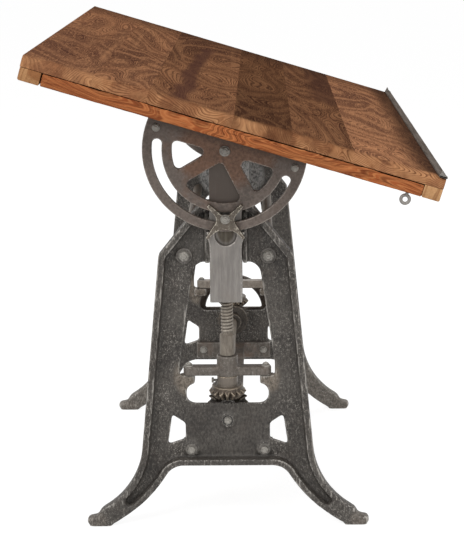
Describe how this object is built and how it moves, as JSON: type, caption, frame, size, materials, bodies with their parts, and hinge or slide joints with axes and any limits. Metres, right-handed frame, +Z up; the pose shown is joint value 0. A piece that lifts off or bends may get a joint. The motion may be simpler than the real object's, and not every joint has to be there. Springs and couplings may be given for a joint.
{
  "type": "adjustable drafting desk",
  "caption": "Cast-iron drafting desk whose timber top tilts on slotted sector plates and rises on screw posts turned by a bevel-geared shaft and handwheel.",
  "frame": {"origin": "middle of the bounding box, on the floor", "axes": "+X to the low edge of the top with the steel ledge, +Y along the desk to the handwheel end, +Z up"},
  "size_m": [0.8938, 1.372, 1.1571],
  "materials": {
    "dark_iron": "dark speckled casting with worn edges",
    "sector_iron": "brown-grey handled iron",
    "worn_iron": "machined and rubbed grey",
    "gear_iron": "greasy, lighter tooth crests",
    "screw_steel": "oiled brown steel",
    "bolt_steel": "dull worn steel",
    "ledge_steel": "dark strip",
    "bronze": "dull bronze",
    "board_wood": "waxed boards with swirling figure",
    "cleat_wood": "waxed red-brown",
    "rail_wood": "waxed tan"
  },
  "bodies": {
    "base": {"near_end_frame": "dark_iron", "far_end_frame": "dark_iron", "cross_stretcher": "dark_iron", "tie_rods": "screw_steel", "tie_bolts": "bolt_steel", "stretcher_bolts": "bolt_steel", "stretcher_nuts": "bolt_steel", "bearing_bolts": "bolt_steel", "bracket_bolts": "bolt_steel", "near_screw_bracket": "dark_iron", "far_screw_bracket": "dark_iron", "near_shaft_bearing": "dark_iron", "far_shaft_bearing": "dark_iron"},
    "drive": {"drive_shaft": "screw_steel", "near_shaft_gear": "gear_iron", "far_shaft_gear": "gear_iron", "handwheel": "dark_iron"},
    "near_screw": {"near_lead_screw": "screw_steel", "near_screw_gear": "gear_iron", "near_set_screw": "bolt_steel"},
    "far_screw": {"far_lead_screw": "screw_steel", "far_screw_gear": "gear_iron", "far_set_screw": "bolt_steel"},
    "lift": {"near_post": "worn_iron", "far_post": "worn_iron", "near_lift_nut": "bronze", "far_lift_nut": "bronze", "near_clamp_head": "worn_iron", "far_clamp_head": "worn_iron", "clamp_bolts": "bolt_steel", "pivot_bolts": "bolt_steel", "pivot_nuts": "bolt_steel"},
    "top": {"near_sector": "sector_iron", "far_sector": "sector_iron", "sector_bolts": "bolt_steel", "near_top_bracket": "dark_iron", "far_top_bracket": "dark_iron", "top_board_1": "board_wood", "top_board_2": "board_wood", "top_board_3": "board_wood", "top_board_4": "board_wood", "top_board_5": "board_wood", "top_board_6": "board_wood", "near_end_cleat": "cleat_wood", "far_end_cleat": "cleat_wood", "back_rail": "rail_wood", "front_rail": "rail_wood", "steel_ledge": "ledge_steel", "screw_eye": "bolt_steel"}
  },
  "joints": [
    {"name": "shaft_turn", "type": "hinge", "parent": "base", "child": "drive", "pos_m": [-0.02628, 0, 0.291], "axis": [0, 1, 0], "range_deg": [-810, 4860]},
    {"name": "near_screw_turn", "type": "hinge", "parent": "base", "child": "near_screw", "pos_m": [-0.02628, -0.398, 0.4], "axis": [0, 0, 1], "range_deg": [-5468.5, 912.25]},
    {"name": "far_screw_turn", "type": "hinge", "parent": "base", "child": "far_screw", "pos_m": [-0.02628, 0.398, 0.4], "axis": [0, 0, 1], "range_deg": [-912.25, 5468.5]},
    {"name": "post_lift", "type": "slide", "parent": "base", "child": "lift", "axis": [0, 0, 1], "range_m": [-0.02026, 0.12151]},
    {"name": "top_tilt", "type": "hinge", "parent": "lift", "child": "top", "pos_m": [-0.02628, 0, 0.918], "axis": [0, 1, 0], "range_deg": [-81.5, 48.5]}
  ],
  "couplings": [
    {"joint": "near_screw_turn", "follows": "shaft_turn", "ratio": -1.125},
    {"joint": "far_screw_turn", "follows": "shaft_turn", "ratio": 1.125},
    {"joint": "post_lift", "follows": "shaft_turn", "m_per_rad": 0.0014324}
  ]
}
